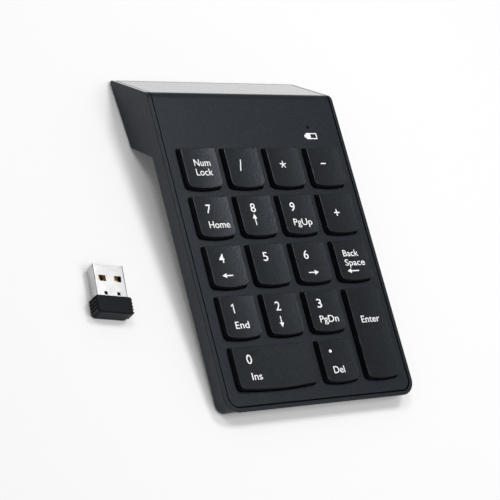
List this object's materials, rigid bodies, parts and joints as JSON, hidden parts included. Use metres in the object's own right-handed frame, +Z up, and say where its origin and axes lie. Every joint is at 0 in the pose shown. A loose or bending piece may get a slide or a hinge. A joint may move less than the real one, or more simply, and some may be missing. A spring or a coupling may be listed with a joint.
{
  "type": "numeric keypad",
  "caption": "Wedge-shaped wireless numeric keypad with low keys, a raised rear foot and a separate USB receiver.",
  "frame": {"origin": "on the desk, under the middle of the keypad and its receiver taken together", "axes": "+X to the right as the user sees it, +Y away from the user, +Z up"},
  "size_m": [0.123, 0.1375, 0.0199],
  "materials": {
    "case_plastic": "black ABS, fine satin moulding texture",
    "key_plastic": "black ABS keycaps, fine matt texture, white printed legends",
    "silicone": "translucent grey silicone",
    "film": "clear polyester film with printed silver tracks",
    "steel": "zinc-plated sheet steel",
    "spring_steel": "nickel-plated spring steel",
    "board": "green solder mask",
    "chip": "black moulded epoxy",
    "can": "small metal can and capacitors",
    "lamp": "moulded lamp",
    "lens": "smoke-tinted clear plastic",
    "cell": "plain printed film sleeve",
    "lead": "PVC insulated leads",
    "pad": "soft black rubber",
    "plug_shell": "nickel-plated stamped steel",
    "tongue": "dark brown moulded insulator",
    "gold": "gold-plated contacts"
  },
  "bodies": {
    "housing": {"top_cover": "case_plastic", "bottom_case": "case_plastic", "dome_sheet": "silicone", "membrane_upper": "film", "membrane_spacer": "film", "membrane_lower": "film", "support_plate": "steel", "circuit_board": "board", "radio_chip": "chip", "crystal": "can", "board_capacitors": "can", "status_lamp": "lamp", "lamp_window": "lens", "battery_front": "cell", "battery_rear": "cell", "contact_bridge": "spring_steel", "contact_positive": "spring_steel", "contact_negative": "spring_steel", "power_switch": "can", "switch_leads": "lead", "case_screws": "steel", "board_screws": "steel", "rubber_feet": "pad"},
    "key_num_lock": {"key_num_lock": "key_plastic"},
    "key_divide": {"key_divide": "key_plastic"},
    "key_multiply": {"key_multiply": "key_plastic"},
    "key_minus": {"key_minus": "key_plastic"},
    "key_7": {"key_7": "key_plastic"},
    "key_8": {"key_8": "key_plastic"},
    "key_9": {"key_9": "key_plastic"},
    "key_plus": {"key_plus": "key_plastic"},
    "key_4": {"key_4": "key_plastic"},
    "key_5": {"key_5": "key_plastic"},
    "key_6": {"key_6": "key_plastic"},
    "key_backspace": {"key_backspace": "key_plastic"},
    "key_1": {"key_1": "key_plastic"},
    "key_2": {"key_2": "key_plastic"},
    "key_3": {"key_3": "key_plastic"},
    "key_enter": {"key_enter": "key_plastic"},
    "key_0": {"key_0": "key_plastic"},
    "key_decimal": {"key_decimal": "key_plastic"},
    "stabiliser_0": {"stabiliser_0": "spring_steel"},
    "stabiliser_enter": {"stabiliser_enter": "spring_steel"},
    "battery_door": {"battery_door": "case_plastic"},
    "switch_slider": {"switch_slider": "key_plastic"},
    "receiver": {"receiver_shell": "plug_shell", "receiver_cap": "key_plastic", "receiver_tongue": "tongue", "receiver_contacts": "gold", "receiver_board": "board"}
  },
  "joints": [
    {"name": "press_num_lock", "type": "slide", "parent": "housing", "child": "key_num_lock", "axis": [0, 0.1079, -0.9942], "range_m": [0, 0.002], "stiffness_N_per_m": 250, "springref_m": -0.0004, "deforming": ["dome_sheet"]},
    {"name": "press_divide", "type": "slide", "parent": "housing", "child": "key_divide", "axis": [0, 0.1079, -0.9942], "range_m": [0, 0.002], "stiffness_N_per_m": 250, "springref_m": -0.0004, "deforming": ["dome_sheet"]},
    {"name": "press_multiply", "type": "slide", "parent": "housing", "child": "key_multiply", "axis": [0, 0.1079, -0.9942], "range_m": [0, 0.002], "stiffness_N_per_m": 250, "springref_m": -0.0004, "deforming": ["dome_sheet"]},
    {"name": "press_minus", "type": "slide", "parent": "housing", "child": "key_minus", "axis": [0, 0.1079, -0.9942], "range_m": [0, 0.002], "stiffness_N_per_m": 250, "springref_m": -0.0004, "deforming": ["dome_sheet"]},
    {"name": "press_7", "type": "slide", "parent": "housing", "child": "key_7", "axis": [0, 0.1079, -0.9942], "range_m": [0, 0.002], "stiffness_N_per_m": 250, "springref_m": -0.0004, "deforming": ["dome_sheet"]},
    {"name": "press_8", "type": "slide", "parent": "housing", "child": "key_8", "axis": [0, 0.1079, -0.9942], "range_m": [0, 0.002], "stiffness_N_per_m": 250, "springref_m": -0.0004, "deforming": ["dome_sheet"]},
    {"name": "press_9", "type": "slide", "parent": "housing", "child": "key_9", "axis": [0, 0.1079, -0.9942], "range_m": [0, 0.002], "stiffness_N_per_m": 250, "springref_m": -0.0004, "deforming": ["dome_sheet"]},
    {"name": "press_plus", "type": "slide", "parent": "housing", "child": "key_plus", "axis": [0, 0.1079, -0.9942], "range_m": [0, 0.002], "stiffness_N_per_m": 250, "springref_m": -0.0004, "deforming": ["dome_sheet"]},
    {"name": "press_4", "type": "slide", "parent": "housing", "child": "key_4", "axis": [0, 0.1079, -0.9942], "range_m": [0, 0.002], "stiffness_N_per_m": 250, "springref_m": -0.0004, "deforming": ["dome_sheet"]},
    {"name": "press_5", "type": "slide", "parent": "housing", "child": "key_5", "axis": [0, 0.1079, -0.9942], "range_m": [0, 0.002], "stiffness_N_per_m": 250, "springref_m": -0.0004, "deforming": ["dome_sheet"]},
    {"name": "press_6", "type": "slide", "parent": "housing", "child": "key_6", "axis": [0, 0.1079, -0.9942], "range_m": [0, 0.002], "stiffness_N_per_m": 250, "springref_m": -0.0004, "deforming": ["dome_sheet"]},
    {"name": "press_backspace", "type": "slide", "parent": "housing", "child": "key_backspace", "axis": [0, 0.1079, -0.9942], "range_m": [0, 0.002], "stiffness_N_per_m": 250, "springref_m": -0.0004, "deforming": ["dome_sheet"]},
    {"name": "press_1", "type": "slide", "parent": "housing", "child": "key_1", "axis": [0, 0.1079, -0.9942], "range_m": [0, 0.002], "stiffness_N_per_m": 250, "springref_m": -0.0004, "deforming": ["dome_sheet"]},
    {"name": "press_2", "type": "slide", "parent": "housing", "child": "key_2", "axis": [0, 0.1079, -0.9942], "range_m": [0, 0.002], "stiffness_N_per_m": 250, "springref_m": -0.0004, "deforming": ["dome_sheet"]},
    {"name": "press_3", "type": "slide", "parent": "housing", "child": "key_3", "axis": [0, 0.1079, -0.9942], "range_m": [0, 0.002], "stiffness_N_per_m": 250, "springref_m": -0.0004, "deforming": ["dome_sheet"]},
    {"name": "press_enter", "type": "slide", "parent": "housing", "child": "key_enter", "axis": [0, 0.1079, -0.9942], "range_m": [0, 0.002], "stiffness_N_per_m": 250, "springref_m": -0.0004, "deforming": ["dome_sheet"]},
    {"name": "press_0", "type": "slide", "parent": "housing", "child": "key_0", "axis": [0, 0.1079, -0.9942], "range_m": [0, 0.002], "stiffness_N_per_m": 250, "springref_m": -0.0004, "deforming": ["dome_sheet"]},
    {"name": "press_decimal", "type": "slide", "parent": "housing", "child": "key_decimal", "axis": [0, 0.1079, -0.9942], "range_m": [0, 0.002], "stiffness_N_per_m": 250, "springref_m": -0.0004, "deforming": ["dome_sheet"]},
    {"name": "level_0", "type": "hinge", "parent": "housing", "child": "stabiliser_0", "pos_m": [-0.00006, -0.04694, 0.0059], "axis": [1, 0, 0], "range_deg": [0, 16.48]},
    {"name": "level_enter", "type": "hinge", "parent": "housing", "child": "stabiliser_enter", "pos_m": [0.04036, -0.04484, 0.00613], "axis": [0, 0.9942, 0.1079], "range_deg": [0, 16.48]},
    {"name": "door_slide", "type": "slide", "parent": "housing", "child": "battery_door", "axis": [0, -1, 0], "range_m": [0, 0.026]},
    {"name": "switch_slide", "type": "slide", "parent": "housing", "child": "switch_slider", "axis": [1, 0, 0], "range_m": [0, 0.0024]},
    {"name": "receiver_lift", "type": "slide", "parent": "housing", "child": "receiver", "axis": [0, 0, 1], "range_m": [0, 0.03]}
  ],
  "couplings": [
    {"joint": "level_0", "follows": "press_0", "rad_per_m": 142.08},
    {"joint": "level_enter", "follows": "press_enter", "rad_per_m": 142.08}
  ]
}
